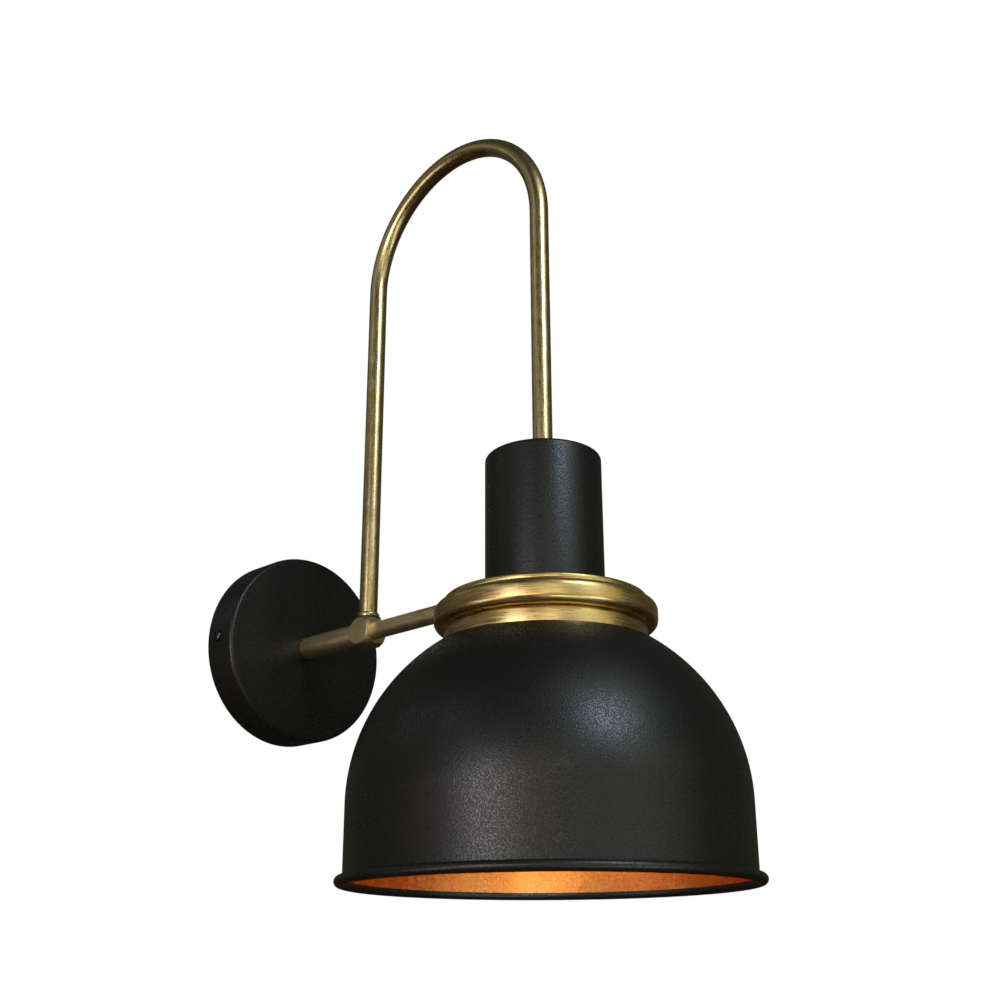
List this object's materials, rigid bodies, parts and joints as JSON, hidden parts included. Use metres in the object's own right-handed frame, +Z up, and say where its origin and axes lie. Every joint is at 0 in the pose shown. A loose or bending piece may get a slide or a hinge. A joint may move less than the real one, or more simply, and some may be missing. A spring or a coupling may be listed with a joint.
{
  "type": "hanging pendant wall sconce",
  "caption": "Wall lamp with a round black canopy, a brass arm and gooseneck, and a black dome shade hung under a brass collar; screw-in bulb.",
  "frame": {"origin": "centre of the wall bracket's back and of the canopy's open back, on the wall's surface, level with the arm's axis", "axes": "+Y into the wall, the room toward -Y, +Z up along the pendant's axis, +X to the right of someone who faces the wall"},
  "size_m": [0.1804, 0.2822, 0.3953],
  "materials": {
    "black_powder_coat": "satin fine-textured powder coat",
    "black_and_copper_shade": "black satin powder coat outside, copper-gold inside",
    "black_screw": "black finish",
    "antique_brass": "antique satin brass, lacquered",
    "collar_brass": "warm brushed brass",
    "bare_brass": "plain turned brass",
    "zinc_steel": "zinc plated",
    "dark_washer": "dark fibre",
    "white_nylon": "moulded",
    "black_bakelite": "moulded thermoset",
    "white_ceramic": "glazed",
    "brown_lead": "insulated wire",
    "blue_lead": "insulated wire",
    "green_yellow_lead": "insulated wire",
    "bulb_metal": "nickel plated sheet",
    "bulb_insulator": "dark fused glass",
    "bulb_glass": "clear",
    "filament": "warm phosphor-coated filament"
  },
  "bodies": {
    "lamp": {"wall_bracket": "zinc_steel", "canopy": "black_powder_coat", "terminal_block": "white_nylon", "terminal_barrels": "bare_brass", "terminal_screws": "zinc_steel", "terminal_block_screw": "zinc_steel", "earth_eyelet": "zinc_steel", "earth_washer": "bare_brass", "earth_screw": "bare_brass", "arm_nipple": "zinc_steel", "arm_lock_washer": "zinc_steel", "arm_lock_nut": "bare_brass", "rear_arm_tube": "antique_brass", "knuckle": "antique_brass", "gooseneck_tube": "antique_brass", "riser_washer": "dark_washer", "riser_ferrule": "antique_brass", "front_rod": "antique_brass", "rod_washer": "zinc_steel", "rod_nut": "zinc_steel", "neck_cup": "black_powder_coat", "cup_upper_nut": "antique_brass", "cup_lock_washer": "zinc_steel", "cup_lower_nut": "bare_brass", "collar_lip": "collar_brass", "collar_ring": "collar_brass", "collar_band": "collar_brass", "shade": "black_and_copper_shade", "upper_shade_ring": "black_bakelite", "shade_washer": "zinc_steel", "lower_shade_ring": "black_bakelite", "lampholder_barrel": "black_bakelite", "lampholder_insert": "white_ceramic", "lampholder_shell": "bare_brass", "centre_contact": "bare_brass", "holder_terminals": "bare_brass", "holder_terminal_screws": "zinc_steel", "lampholder_cap": "black_bakelite", "cap_grub_screw": "zinc_steel", "live_lead": "brown_lead", "neutral_lead": "blue_lead", "earth_lead": "green_yellow_lead"},
    "bulb": {"bulb_contact": "bulb_metal", "bulb_insulator": "bulb_insulator", "bulb_cap": "bulb_metal", "bulb_glass": "bulb_glass", "bulb_stem": "bulb_glass", "bulb_stars": "bulb_metal", "bulb_filaments": "filament"},
    "side_screw_left": {"side_screw_left": "black_screw"},
    "side_screw_right": {"side_screw_right": "black_screw"}
  },
  "joints": [
    {"name": "bulb_out", "type": "slide", "parent": "lamp", "child": "bulb", "axis": [0, 0, -1], "range_m": [0, 0.15]},
    {"name": "side_screw_left_out", "type": "slide", "parent": "lamp", "child": "side_screw_left", "axis": [-1, 0, 0], "range_m": [0, 0.01]},
    {"name": "side_screw_right_out", "type": "slide", "parent": "lamp", "child": "side_screw_right", "axis": [1, 0, 0], "range_m": [0, 0.01]}
  ]
}
